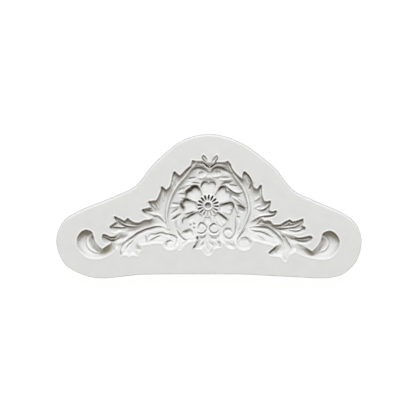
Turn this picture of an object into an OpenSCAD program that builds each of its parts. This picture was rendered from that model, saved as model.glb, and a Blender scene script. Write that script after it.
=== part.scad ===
/* [Slab] */
// Length of the mould, along X
mould_length = 150; // [120:1:185]
// Width of the mould, along Y
mould_width = 71; // [57:1:88]
// Thickness of the mould, from the back to the pouring face
mould_thickness = 12; // [11:0.5:15]

/* [Ornament] */
// Flat rubber between the ornament and each end of the slab
end_wall = 10; // [6:0.5:14]
// Flat rubber above the crown
head_wall = 10.5; // [6:0.5:14]
// Flat rubber below the hanging leaves
foot_wall = 8.5; // [6:0.5:12]

/* [Rosette] */
// Radius to the outer ends of the petals
petal_reach = 12; // [9.5:0.1:14.5]
// Number of petals
petal_count = 8; // [6:1:10]
// Width of a petal at its outer end
petal_width = 6.4; // [3.6:0.1:7.6]
// Radius of the ring of stamens
stamen_radius = 5.2; // [4:0.1:6.3]
// Number of stamens
stamen_count = 16; // [12:1:22]
// Width of a stamen at its outer end
stamen_width = 0.8; // [0.4:0.05:1]
// Radius of the button in the middle of the rosette
button_radius = 1.5; // [1:0.1:2.2]

/* [Depths] */
// Solid rubber left under the deepest hollow
back_thickness = 3.5; // [2.5:0.25:4.5]
// Depth of the rosette's rim below the pouring face
rosette_depth = 4.9; // [4:0.1:5.2]
// How much deeper the petals and stamens are than the rosette's rim
petal_depth = 1.6; // [0.5:0.1:2]
// Depth of the large leaves
leaf_depth = 5.2; // [4:0.1:6.3]
// Depth of the side leaves and the hanging leaves
side_depth = 5.1; // [4:0.1:6]
// Depth of the scrolls at the two ends
scroll_depth = 5.6; // [4.5:0.1:6]
// Depth of the crown
crown_depth = 5.1; // [4:0.1:6]
// Depth of the palmette and the small curls
palmette_depth = 5.1; // [4:0.1:6]
// Depth of the wreath of folds round the rosette
wreath_depth = 5.1; // [4:0.1:6]

/* [Ribs] */
// Width of a rib on the floor of the ornament, which leaves a vein in the casting
rib_width = 0.9; // [0.5:0.05:1.2]
// Height of a rib
rib_height = 0.7; // [0.4:0.05:1]

/* [Hidden] */
$fn = 64;

// The outlines below are drawn for a slab of this size with these walls, and are scaled to the sizes above.
drawn_length = 150;
drawn_width = 71;
drawn_ornament = [130, 52];
drawn_middle = [0, -1];
ornament = [mould_length - 2 * end_wall, mould_width - head_wall - foot_wall];
ornament_middle = [0, (foot_wall - head_wall) / 2];
slab_scale = [mould_length / drawn_length, mould_width / drawn_width];
ornament_scale = [ornament[0] / drawn_ornament[0], ornament[1] / drawn_ornament[1]];

// Steps between two points of a curve
curve_steps = 3;

function on_slab(p) = [p[0] * slab_scale[0], p[1] * slab_scale[1]];
function on_ornament(p) = [for (i = [0, 1])
    (p[i] - drawn_middle[i]) * ornament_scale[i] + ornament_middle[i]];

// A closed curve through the points. A point with a third value is a sharp corner.
function is_corner(p) = len(p) > 2;
function flat(p) = [p[0], p[1]];
function leaving(a, b, c) = is_corner(b) ? flat(c) - flat(b) : (flat(c) - flat(a)) / 2;
function arriving(a, b, c) = is_corner(b) ? flat(b) - flat(a) : (flat(c) - flat(a)) / 2;
function between(a, b, c, d, t) =
    flat(b) * (2 * pow(t, 3) - 3 * pow(t, 2) + 1)
    + flat(c) * (3 * pow(t, 2) - 2 * pow(t, 3))
    + leaving(a, b, c) * (pow(t, 3) - 2 * pow(t, 2) + t)
    + arriving(b, c, d) * (pow(t, 3) - pow(t, 2));
function closed_curve(points, steps) =
    let (n = len(points))
    [for (i = [0 : n - 1], s = [0 : steps - 1])
        between(points[(i + n - 1) % n], points[i], points[(i + 1) % n], points[(i + 2) % n], s / steps)];

// An open curve through the points, and a tapered strip along it.
function open_curve(points, steps) =
    let (n = len(points))
    concat([for (i = [0 : n - 2], s = [0 : steps - 1])
        between(points[max(i - 1, 0)], points[i], points[i + 1], points[min(i + 2, n - 1)], s / steps)],
        [flat(points[n - 1])]);
function unit(v) = v / norm(v);
function side_of(line, i) =
    let (d = unit(line[min(i + 1, len(line) - 1)] - line[max(i - 1, 0)])) [-d[1], d[0]];
function strip(line, start_width, end_width) =
    let (n = len(line), half = [for (i = [0 : n - 1])
        (start_width + (end_width - start_width) * i / (n - 1)) / 2])
    concat([for (i = [0 : n - 1]) line[i] + side_of(line, i) * half[i]],
        [for (i = [n - 1 : -1 : 0]) line[i] - side_of(line, i) * half[i]]);

slab_points = [
    [0, 35.5], [8.3, 34.2], [14.8, 31.6], [19.9, 28.8], [27.5, 23], [33.1, 18.1], [38.2, 11.4], [43.3, 6.7],
    [53, 2.3], [65.7, -3.3], [72.6, -9.2], [75, -17.5], [72.6, -26.8], [66.5, -33], [60.5, -35.1],
    [53.5, -35.5], [46, -35.1], [30, -34.3], [14.8, -33.6], [-12, -33.5], [-32, -33.7], [-38, -34.2],
    [-44.5, -34.9], [-51, -35.5], [-58, -34.9], [-66.5, -31.6], [-71.9, -26.9], [-75, -17.4], [-71.9, -7.9],
    [-64, -2.3], [-47.7, 4.3], [-37.5, 9], [-33.5, 12.7], [-27.4, 20.6], [-19.2, 28], [-14.7, 31.4],
    [-8.3, 34.2]];

rosette_place = on_ornament([-0.4, 0.3]);

palmette_points = [
    [-6.6, -8], [-7.4, -10.6], [-6.6, -13.2], [-5.9, -15, 1], [-5.9, -16.4], [-6.9, -18.8], [-7.8, -20.5, 1],
    [-5.5, -20.6], [-3.4, -20.6, 1], [-1.8, -22.8], [-0.4, -23.8], [1.2, -22.9], [2.2, -20.8, 1], [3.7, -20.1],
    [5.7, -19.9, 1], [6, -17.4], [5.8, -15], [6.4, -13], [6.8, -10.6], [6, -8]];

crown_points = [
    [-8, 22.4, 1], [-6, 22], [-3.8, 22], [-1.4, 21.4], [0, 21.2], [1.4, 21.3], [5, 21.4], [7.6, 21.5],
    [9.4, 22, 1], [9.8, 20.6, 1], [6, 18.8], [3, 18.8], [0.2, 16.5, 1], [-3, 18.8], [-6, 19], [-9, 19.6, 1]];
crown_leaflet = [2.6, 23];
crown_leaflet_half = [0.75, 2.3];
crown_leaflet_tilt = 38;

wreath_points = [
    [-8, 20.4, 1], [0, 20.4], [9.4, 20.4, 1], [12.4, 15.4], [16.4, 10], [19.4, 3.4], [20.4, -3], [19.4, -9.4],
    [18.2, -13.4], [13.2, -17.2], [12.6, -20.4], [9.2, -20], [7, -17.6], [0, -16], [-7, -16.8], [-10, -17.4],
    [-12.4, -19.4], [-14.4, -21.2], [-15.8, -19], [-19.4, -13.4], [-20.4, -9.4], [-21.4, -3], [-20, 3.4],
    [-16.8, 10], [-12.2, 15.4]];

right_leaf_points = [
    [9.5, 21.9, 1], [10.9, 19.3], [12.3, 17], [14.6, 14.6], [16.4, 13.2, 1], [16.5, 15.4], [17.5, 16.9, 1],
    [19.4, 15], [20.9, 12.4], [21.3, 10.7], [22.5, 8.8], [23.7, 8.4, 1], [25.8, 10.3, 1], [26.1, 7.7],
    [26.3, 5.2], [27.3, 2.5, 1], [28.7, 2.3], [30.3, 2.6, 1], [30.3, 0.7], [29.5, -1.9, 1], [31.2, -2.5],
    [33.4, -2.2, 1], [32.1, -4.1], [30.1, -5], [27, -5.3], [24.5, -5.8], [22.4, -7.4], [21, -9.4],
    [17, -11.8, 1], [18.2, -7], [19.1, -2.8], [18.8, 0.4], [17.8, 4.4], [16.3, 8.2], [14.1, 12.2],
    [11, 16.2], [9.2, 19.4]];
left_leaf_points = [
    [-7.8, 22.2, 1], [-8.6, 20.1], [-11, 18.1], [-13, 16], [-14.3, 14.8, 1], [-15.7, 16], [-16.9, 16.9, 1],
    [-17.8, 15], [-18.2, 13], [-19, 9.9], [-20.8, 8, 1], [-23.1, 9.5, 1], [-23.7, 7.4], [-24.8, 4.8],
    [-25.9, 2.8, 1], [-27.6, 2.6], [-29.8, 2.3, 1], [-29.4, 0.8], [-28.7, -0.7, 1], [-31, -1.1],
    [-33.1, -1.8, 1], [-32, -3.3], [-29.4, -4.8], [-26.9, -5.8], [-24.3, -7.1], [-22.5, -8.7],
    [-18.6, -11.8, 1], [-19.2, -8], [-19.8, -3.5], [-19.4, 0], [-17.8, 5.1], [-14.9, 10.3], [-11.3, 14.8],
    [-7.9, 18.6]];

right_side_leaf_points = [
    [17, -11.8, 1], [21, -9.4], [24, -6.5, 1], [26.5, -6.9], [28.6, -7.5], [31.2, -8.6], [35.2, -8.9],
    [37.4, -7.7], [40, -6.5, 1], [41.4, -7.6, 1], [43.8, -7], [46.5, -6.1, 1], [46.2, -8], [45.2, -9.4, 1],
    [47.6, -10.5, 1], [46.4, -11.7], [43.8, -12.4], [40.3, -12.2], [37.4, -12.8, 1], [39, -14.1],
    [41.3, -14.6], [43.9, -15.6], [46.5, -15.4], [49.7, -14.7], [51, -15.1, 1], [49.7, -16.8], [47.4, -18],
    [43, -18.2, 1], [38.9, -16.5, 1], [35.5, -13.4], [32.3, -11.8], [29.1, -10.5], [25.7, -10],
    [22.9, -10.3], [20.4, -11.7], [17.4, -14, 1]];
left_side_leaf_points = [
    [-18.6, -11.8, 1], [-22.5, -8.7], [-26.9, -6.3, 1], [-28.7, -6.6], [-32, -6.9], [-34, -7.9], [-36, -8.1],
    [-38.1, -7.4], [-40.1, -6, 1], [-43.2, -6.6, 1], [-45, -5.4], [-46.8, -5.3, 1], [-46.2, -6.8],
    [-45.7, -7.5, 1], [-47.2, -8.7], [-48.8, -9.9, 1], [-47.8, -11.2], [-45.7, -12.6], [-44, -12.4, 1],
    [-45.4, -13.8], [-46.8, -14.8], [-48.8, -14.8], [-50.5, -14], [-52.1, -13.7, 1], [-52.7, -15.6],
    [-51.5, -18], [-49.8, -18.5], [-46.5, -17, 1], [-41, -17, 1], [-36.5, -13.6], [-32.5, -11.5],
    [-28.4, -10.3], [-24.3, -9.8], [-21.5, -11], [-19, -14, 1]];

right_scroll_points = [
    [38.9, -16.5, 1], [43, -18.2, 1], [46.4, -19.4], [48.6, -20.7], [50.8, -22.2, 1], [53, -20.2], [54.6, -18],
    [55.4, -16], [55.8, -14.4], [56.4, -13.3], [57.7, -12.5], [59.6, -12.1], [61.7, -13], [63.4, -15],
    [64.3, -17.5], [63.8, -20.2], [62.4, -22.7], [60.1, -24.7], [57.1, -25.6], [53.5, -25.4], [49.4, -24.7],
    [45.9, -23.4], [42.8, -21.9, 1], [40.6, -20]];
left_scroll_points = [
    [-41, -17, 1], [-46.5, -17, 1], [-48.8, -18.3], [-50.5, -19.6], [-52.6, -21, 1], [-54.4, -19.6],
    [-55.9, -17.6], [-56.9, -14.6], [-57.6, -12.8], [-58.7, -12], [-60.7, -11.6], [-62.8, -12.6],
    [-64.3, -14.6], [-65, -17.2], [-64.4, -20], [-62.7, -22.6], [-59.8, -24.7], [-56.4, -25.4],
    [-52.9, -25.1], [-49.9, -23.9], [-47.5, -22.2], [-45.6, -20.2, 1], [-43.6, -18.6]];

right_hanging_leaf_points = [
    [33.4, -11.4, 1], [38.9, -16.5], [42.8, -21.9, 1], [40.3, -23.2], [38.9, -25], [38.2, -27, 1],
    [36.9, -26.4], [35.7, -24.7], [33.1, -24.2], [30, -23.6], [29.4, -22.6, 1], [30.8, -21.6], [32.2, -20.4],
    [34, -18.8, 1], [32.1, -19.1], [30.1, -18.4], [28.1, -18.1], [26, -17.6], [24, -16.8], [21.9, -16.5],
    [17.6, -15.2, 1], [18.4, -11], [25.7, -9.4], [29.8, -9.8]];
left_hanging_leaf_points = [
    [-34, -11.4, 1], [-40.8, -16.2], [-45.6, -20.2, 1], [-44.2, -21.4], [-43.3, -24.4, 1], [-41.6, -23.6],
    [-38.6, -23.5], [-34.3, -23, 1], [-34, -21], [-34.2, -18.6, 1], [-31.5, -17.9], [-29.4, -17.4],
    [-26.9, -16.7], [-24.3, -16.9], [-22, -17.6], [-18.4, -15.6, 1], [-20, -11], [-24.3, -9.2],
    [-29.6, -9.8]];

// The eyes of the palmette's two scrolls
palmette_eyes = [[-3.4, -10.7], [2.7, -10.4]];

// The small curls under the stems
right_curl_place = [17.2, -17.3];
left_curl_place = [-18.9, -17.1];
curl_radius = 4.1;

// Ribs on the floors, each a curve from its root to its tip
right_leaf_ribs = [
    [[17.8, -10.4], [19.9, -6], [20.2, -1], [19, 4], [16.6, 9.6], [13, 14.8], [10, 19.6]],
    [[21.2, 3.6], [22, 7.6], [19, 13.6]], [[21.6, 0.6], [24.2, 4], [25, 8]],
    [[21.6, -2.4], [25, -0.2], [28.6, 1.8]], [[21.2, -5], [26, -4], [31.4, -2.9]]];
left_leaf_ribs = [
    [[-18.6, -10.4], [-20.4, -6], [-20.7, -1], [-19.2, 4.6], [-16.4, 9.8], [-12.6, 14.6], [-8.6, 19.4]],
    [[-20.6, 5.2], [-20, 9], [-17, 14]], [[-22.4, 1.2], [-23, 4.6], [-23, 8]],
    [[-23, -2], [-26, 0.4], [-28.4, 1.6]], [[-23.4, -5.4], [-26.6, -3.9], [-31, -2.2]]];
right_side_ribs = [
    [[22.4, -8.6], [28.4, -9], [35, -10.4], [40, -9.7], [44.6, -7.4]], [[38, -11.2], [42, -11], [46, -10.9]],
    [[36.4, -12.6], [40.8, -16], [45.4, -16.9], [49.4, -15.6]]];
left_side_ribs = [
    [[-23, -8.6], [-29, -8.6], [-35.6, -9.6], [-40.6, -8.6], [-45.4, -6.2]],
    [[-38.6, -10.4], [-43, -9.6], [-47.4, -9.9]], [[-41, -14.6], [-46.4, -16.2], [-50.8, -15.4]]];
right_hanging_ribs = [
    [[26.4, -11.4], [31.8, -14], [35, -18], [36.6, -24]], [[32.4, -12.8], [36.6, -16.4], [38.8, -21.6]],
    [[21.6, -12.8], [26, -13.2], [30.2, -16.4]]];
left_hanging_ribs = [
    [[-27.6, -11.2], [-33.6, -13.6], [-38, -18], [-40.6, -22]], [[-36.4, -14.8], [-41, -18.4], [-43.4, -22.4]],
    [[-22.4, -12.4], [-26.6, -12.8], [-31.6, -16.2]]];
palmette_ribs = [
    [[-0.2, -12.6], [-2.4, -16.2], [-6.2, -19.2]], [[0, -12.6], [1.8, -16.2], [4.8, -18.8]],
    [[-0.1, -14.4], [-0.4, -21.8]]];
crown_ribs = [
    [[0, 18.2], [4.4, 19.9], [8.8, 19.7]], [[0, 18.2], [-4.4, 20.2], [-7.8, 20.1]]];
wreath_ribs = [
    [[1.6, 16.4], [4.6, 17.6], [8.4, 16.2], [12.8, 12]], [[-1.4, 16.4], [-4.6, 17.8], [-8.4, 16.4], [-13, 11.6]]];
right_scroll_ribs = [
    [[57.6, -14.6], [59.6, -17.4], [59, -20.4], [56.6, -22.2], [52.8, -22.6]]];
left_scroll_ribs = [
    [[-58.9, -14.2], [-60.3, -16.6], [-60, -19.6], [-57.6, -21.8], [-54, -22.3]]];

// A petal's widest place, its outer corners and its notch, as shares of its reach
petal_shoulder = 0.8;
petal_corner = 0.96;
petal_notch = 0.93;
// Half the distance between the outer corners and the width at the stamens, as shares of the petal's width
corner_share = 0.3;
foot_share = 0.5;

// Direction of the first stamen, and the place of a stamen's widest part as a share of its reach
stamen_turn = 86;
stamen_belly = 0.82;

// Folds of the wreath: their distance from the rosette's rim, their length and their directions
fold_start = 1.2;
fold_length = 4;
fold_angles = [-52 : 13 : 232];

// Play between two ribs or slots that must not run into each other
land = 0.5;
// How far a cut runs past a face
cut = 1;

module outline(points) {
    polygon([for (p = closed_curve(points, curve_steps)) on_ornament(p)]);
}

module slab_outline() {
    polygon([for (p = closed_curve(slab_points, curve_steps)) on_slab(p)]);
}

module rosette_outline() {
    translate(rosette_place) circle(r = petal_reach + land);
}

module leaflet_outline(side) {
    centre = [crown_leaflet[0] * side, crown_leaflet[1]];
    turn = -crown_leaflet_tilt * side;
    polygon([for (a = [0 : 22.5 : 337.5])
        let (x = crown_leaflet_half[0] * cos(a), y = crown_leaflet_half[1] * sin(a))
        on_ornament(centre + [x * cos(turn) - y * sin(turn), x * sin(turn) + y * cos(turn)])]);
}

module crown_outline() {
    outline(crown_points);
    for (side = [-1, 1]) leaflet_outline(side);
}

module curl_outline(place) {
    translate(on_ornament(place)) circle(r = curl_radius);
}

// Every part of the ornament's outline, in the order in which one gives way to another
module ornament_outline(i) {
    if (i == 0) rosette_outline();
    if (i == 1) outline(palmette_points);
    if (i == 2) crown_outline();
    if (i == 3) outline(right_leaf_points);
    if (i == 4) outline(left_leaf_points);
    if (i == 5) outline(right_side_leaf_points);
    if (i == 6) outline(left_side_leaf_points);
    if (i == 7) outline(right_scroll_points);
    if (i == 8) outline(left_scroll_points);
    if (i == 9) curl_outline(right_curl_place);
    if (i == 10) curl_outline(left_curl_place);
    if (i == 11) outline(right_hanging_leaf_points);
    if (i == 12) outline(left_hanging_leaf_points);
    if (i == 13) outline(wreath_points);
}
outline_count = 14;

// Outline i less all that come before it
module region(i) {
    difference() {
        ornament_outline(i);
        for (j = [0 : 1 : i - 1]) ornament_outline(j);
    }
}

// A floor over outline i, at a depth below the pouring face, with ribs that stay inside it
module floor_of(i, depth, ribs) {
    top = mould_thickness - depth;
    translate([0, 0, back_thickness]) linear_extrude(top - back_thickness) region(i);
    if (len(ribs) > 0) translate([0, 0, top]) linear_extrude(rib_height) intersection() {
        region(i);
        union() {
            for (rib = ribs) rib_outline(rib);
            children();
        }
    }
}

module rib_outline(points) {
    line = [for (p = open_curve(points, curve_steps)) on_ornament(p)];
    polygon(strip(line, rib_width, rib_width / 2));
}

module back_sheet() {
    color("gainsboro") linear_extrude(back_thickness) slab_outline();
}

module rim_wall() {
    color("whitesmoke") translate([0, 0, back_thickness])
        linear_extrude(mould_thickness - back_thickness) difference() {
            slab_outline();
            for (i = [0 : outline_count - 1]) ornament_outline(i);
        }
}

// A petal: narrow at the stamens, wide and notched at its outer end
module petal_outline() {
    start = stamen_radius + land;
    foot = petal_width * foot_share / 2;
    wide = petal_width / 2;
    corner = petal_width * corner_share;
    polygon(closed_curve([
        [start, -foot, 1], [petal_reach * petal_shoulder, -wide], [petal_reach * petal_corner, -corner],
        [petal_reach * petal_notch, 0, 1],
        [petal_reach * petal_corner, corner], [petal_reach * petal_shoulder, wide], [start, foot, 1]],
        curve_steps));
}

// A stamen: a drop, pointed towards the button
module stamen_outline() {
    belly = stamen_radius * stamen_belly;
    polygon(closed_curve([
        [button_radius + land, 0, 1], [belly, -stamen_width / 2], [stamen_radius, 0],
        [belly, stamen_width / 2]], curve_steps));
}

module rosette_floor() {
    top = mould_thickness - rosette_depth;
    color("white") translate([rosette_place[0], rosette_place[1], 0]) difference() {
        translate([0, 0, back_thickness]) cylinder(h = top - back_thickness, r = petal_reach + land);
        translate([0, 0, top - petal_depth]) linear_extrude(petal_depth + cut) {
            for (i = [0 : petal_count - 1]) rotate(90 + i * 360 / petal_count) petal_outline();
            for (i = [0 : stamen_count - 1]) rotate(stamen_turn + i * 360 / stamen_count) stamen_outline();
        }
        translate([0, 0, top]) sphere(r = button_radius);
    }
}

module palmette_floor() {
    color("white") difference() {
        floor_of(1, palmette_depth, palmette_ribs);
        for (eye = palmette_eyes) translate(concat(on_ornament(eye), [mould_thickness - palmette_depth]))
            sphere(r = button_radius);
    }
}

module crown_floor() {
    color("white") floor_of(2, crown_depth, crown_ribs);
}

module wreath_floor() {
    color("whitesmoke") floor_of(13, wreath_depth, wreath_ribs)
        translate(rosette_place) for (a = fold_angles) rotate(a)
            translate([petal_reach + land + fold_start, -rib_width / 2]) square([fold_length, rib_width]);
}

module right_leaf_floor() {
    color("gainsboro") floor_of(3, leaf_depth, right_leaf_ribs);
}

module left_leaf_floor() {
    color("gainsboro") floor_of(4, leaf_depth, left_leaf_ribs);
}

module right_side_leaf_floor() {
    color("whitesmoke") floor_of(5, side_depth, right_side_ribs);
}

module left_side_leaf_floor() {
    color("whitesmoke") floor_of(6, side_depth, left_side_ribs);
}

module right_scroll_floor() {
    color("white") floor_of(7, scroll_depth, right_scroll_ribs);
}

module left_scroll_floor() {
    color("white") floor_of(8, scroll_depth, left_scroll_ribs);
}

module curl_floor(i, place) {
    top = mould_thickness - palmette_depth;
    difference() {
        floor_of(i, palmette_depth, []);
        translate(concat(on_ornament(place), [top])) sphere(r = button_radius);
    }
}

module right_curl_floor() {
    color("gainsboro") curl_floor(9, right_curl_place);
}

module left_curl_floor() {
    color("gainsboro") curl_floor(10, left_curl_place);
}

module right_hanging_leaf_floor() {
    color("white") floor_of(11, side_depth, right_hanging_ribs);
}

module left_hanging_leaf_floor() {
    color("white") floor_of(12, side_depth, left_hanging_ribs);
}

back_sheet();
rim_wall();
rosette_floor();
palmette_floor();
crown_floor();
wreath_floor();
right_leaf_floor();
left_leaf_floor();
right_side_leaf_floor();
left_side_leaf_floor();
right_scroll_floor();
left_scroll_floor();
right_hanging_leaf_floor();
left_hanging_leaf_floor();
right_curl_floor();
left_curl_floor();
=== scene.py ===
"""The looks of a silicone casting mould: one rubber skin over the part, its material and a pale studio."""
import math

import bpy
import numpy as np
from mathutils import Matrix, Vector
from mathutils.geometry import delaunay_2d_cdt
from mathutils.kdtree import KDTree


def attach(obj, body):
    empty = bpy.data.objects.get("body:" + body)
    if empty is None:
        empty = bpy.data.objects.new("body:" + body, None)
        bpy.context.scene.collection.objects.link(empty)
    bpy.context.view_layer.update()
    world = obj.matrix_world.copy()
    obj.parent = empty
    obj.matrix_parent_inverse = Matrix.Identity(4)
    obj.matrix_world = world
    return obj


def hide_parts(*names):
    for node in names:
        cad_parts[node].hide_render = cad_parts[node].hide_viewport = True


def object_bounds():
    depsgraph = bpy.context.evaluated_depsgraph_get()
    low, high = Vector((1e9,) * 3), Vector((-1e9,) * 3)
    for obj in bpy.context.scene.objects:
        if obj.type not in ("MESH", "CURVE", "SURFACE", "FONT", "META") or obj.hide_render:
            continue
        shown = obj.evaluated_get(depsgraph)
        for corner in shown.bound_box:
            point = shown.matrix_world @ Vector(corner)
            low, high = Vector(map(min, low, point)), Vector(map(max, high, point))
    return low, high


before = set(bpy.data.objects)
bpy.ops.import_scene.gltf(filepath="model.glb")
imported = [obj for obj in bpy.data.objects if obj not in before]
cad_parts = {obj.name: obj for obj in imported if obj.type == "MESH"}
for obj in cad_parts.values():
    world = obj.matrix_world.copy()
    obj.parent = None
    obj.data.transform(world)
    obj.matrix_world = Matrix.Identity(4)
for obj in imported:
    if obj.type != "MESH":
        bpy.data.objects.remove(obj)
cad_low, cad_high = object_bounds()

MM = 0.001
LENGTH = (cad_high.x - cad_low.x) / MM
WIDTH = (cad_high.y - cad_low.y) / MM
TOP = cad_high.z / MM
DRAWN_LENGTH = 150.0
DRAWN_WIDTH = 71.0

# The grid on which the hollow is modelled, in mm
STEP = 0.2
GRID_LOW = (-67.0, -29.0)
GRID_HIGH = (66.0, 26.4)
# Cells are kept or dropped in square blocks of this many
BLOCK = 5
# How far the fine grid runs past the hollow's edge, in mm
MARGIN = 1.0

# ---- curves

# The distance between a curve's points, in mm
FINE = 0.12
# Points that are handled at a time, to save memory
CHUNK = 4000


def unit(degrees):
    return math.cos(math.radians(degrees)), math.sin(math.radians(degrees))


def hermite(before, start, end, after, count):
    """Points from start to end, as part.scad draws them."""
    a, b, c, d = (np.array(p[:2], float) for p in (before, start, end, after))
    leave = c - b if len(start) > 2 else (c - a) / 2
    arrive = c - b if len(end) > 2 else (d - b) / 2
    t = np.arange(count)[:, None] / count
    return (b * (2 * t**3 - 3 * t**2 + 1) + c * (3 * t**2 - 2 * t**3)
            + leave * (t**3 - 2 * t**2 + t) + arrive * (t**3 - t**2))


def spans(start, end, spacing):
    return max(2, math.ceil(math.dist(start[:2], end[:2]) / spacing))


def closed_curve(points, spacing=FINE):
    n = len(points)
    return np.concatenate([
        hermite(points[i - 1], points[i], points[(i + 1) % n], points[(i + 2) % n],
                spans(points[i], points[(i + 1) % n], spacing)) for i in range(n)])


def open_curve(points):
    n = len(points)
    parts = [hermite(points[max(i - 1, 0)], points[i], points[i + 1], points[min(i + 2, n - 1)],
                     spans(points[i], points[i + 1], FINE)) for i in range(n - 1)]
    return np.concatenate(parts + [np.array([points[-1][:2]], float)])


def ring(centre, radius, spacing=FINE):
    a = np.linspace(0, 2 * math.pi, int(2 * math.pi * radius / spacing), endpoint=False)
    return np.stack([centre[0] + radius * np.cos(a), centre[1] + radius * np.sin(a)], 1)


def outward_of(line):
    """The outward directions round a closed curve."""
    ahead = np.roll(line, -1, 0) - np.roll(line, 1, 0)
    ahead /= np.linalg.norm(ahead, axis=1)[:, None] + 1e-9
    turning = (line[:, 0] * np.roll(line[:, 1], -1) - np.roll(line[:, 0], -1) * line[:, 1]).sum()
    return np.stack([ahead[:, 1], -ahead[:, 0]], 1) * np.sign(turning)


def inside(points, polygon):
    """Which points lie inside a polygon."""
    result = np.zeros(len(points), bool)
    ends = np.roll(polygon, -1, 0)
    for start in range(0, len(points), CHUNK):
        p = points[start:start + CHUNK]
        above = (polygon[None, :, 1] > p[:, None, 1]) != (ends[None, :, 1] > p[:, None, 1])
        rise = ends[:, 1] - polygon[:, 1]
        rise = np.where(rise == 0, 1e-12, rise)
        cross = polygon[:, 0] + (p[:, None, 1] - polygon[:, 1]) * (ends[:, 0] - polygon[:, 0]) / rise
        result[start:start + CHUNK] = (above & (p[:, None, 0] < cross)).sum(1) % 2 == 1
    return result


def tree_of(points):
    tree = KDTree(len(points))
    for i, p in enumerate(points):
        tree.insert((p[0], p[1], 0), i)
    tree.balance()
    return tree


# ---- outlines, in mm; a third value marks a sharp corner

ROSETTE = (-0.4, 0.3)
PETAL_REACH = 12.0
CURL_RADIUS = 4.1

SLAB = [
    (0, 35.5), (8.3, 34.2), (14.8, 31.6), (19.9, 28.8), (27.5, 23), (33.1, 18.1), (38.2, 11.4),
    (43.3, 6.7), (53, 2.3), (65.7, -3.3), (72.6, -9.2), (75, -17.5), (72.6, -26.8), (66.5, -33),
    (60.5, -35.1), (53.5, -35.5), (46, -35.1), (30, -34.3), (14.8, -33.6), (-12, -33.5), (-32, -33.7),
    (-38, -34.2), (-44.5, -34.9), (-51, -35.5), (-58, -34.9), (-66.5, -31.6), (-71.9, -26.9), (-75, -17.4),
    (-71.9, -7.9), (-64, -2.3), (-47.7, 4.3), (-37.5, 9), (-33.5, 12.7), (-27.4, 20.6), (-19.2, 28),
    (-14.7, 31.4), (-8.3, 34.2)]

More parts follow.
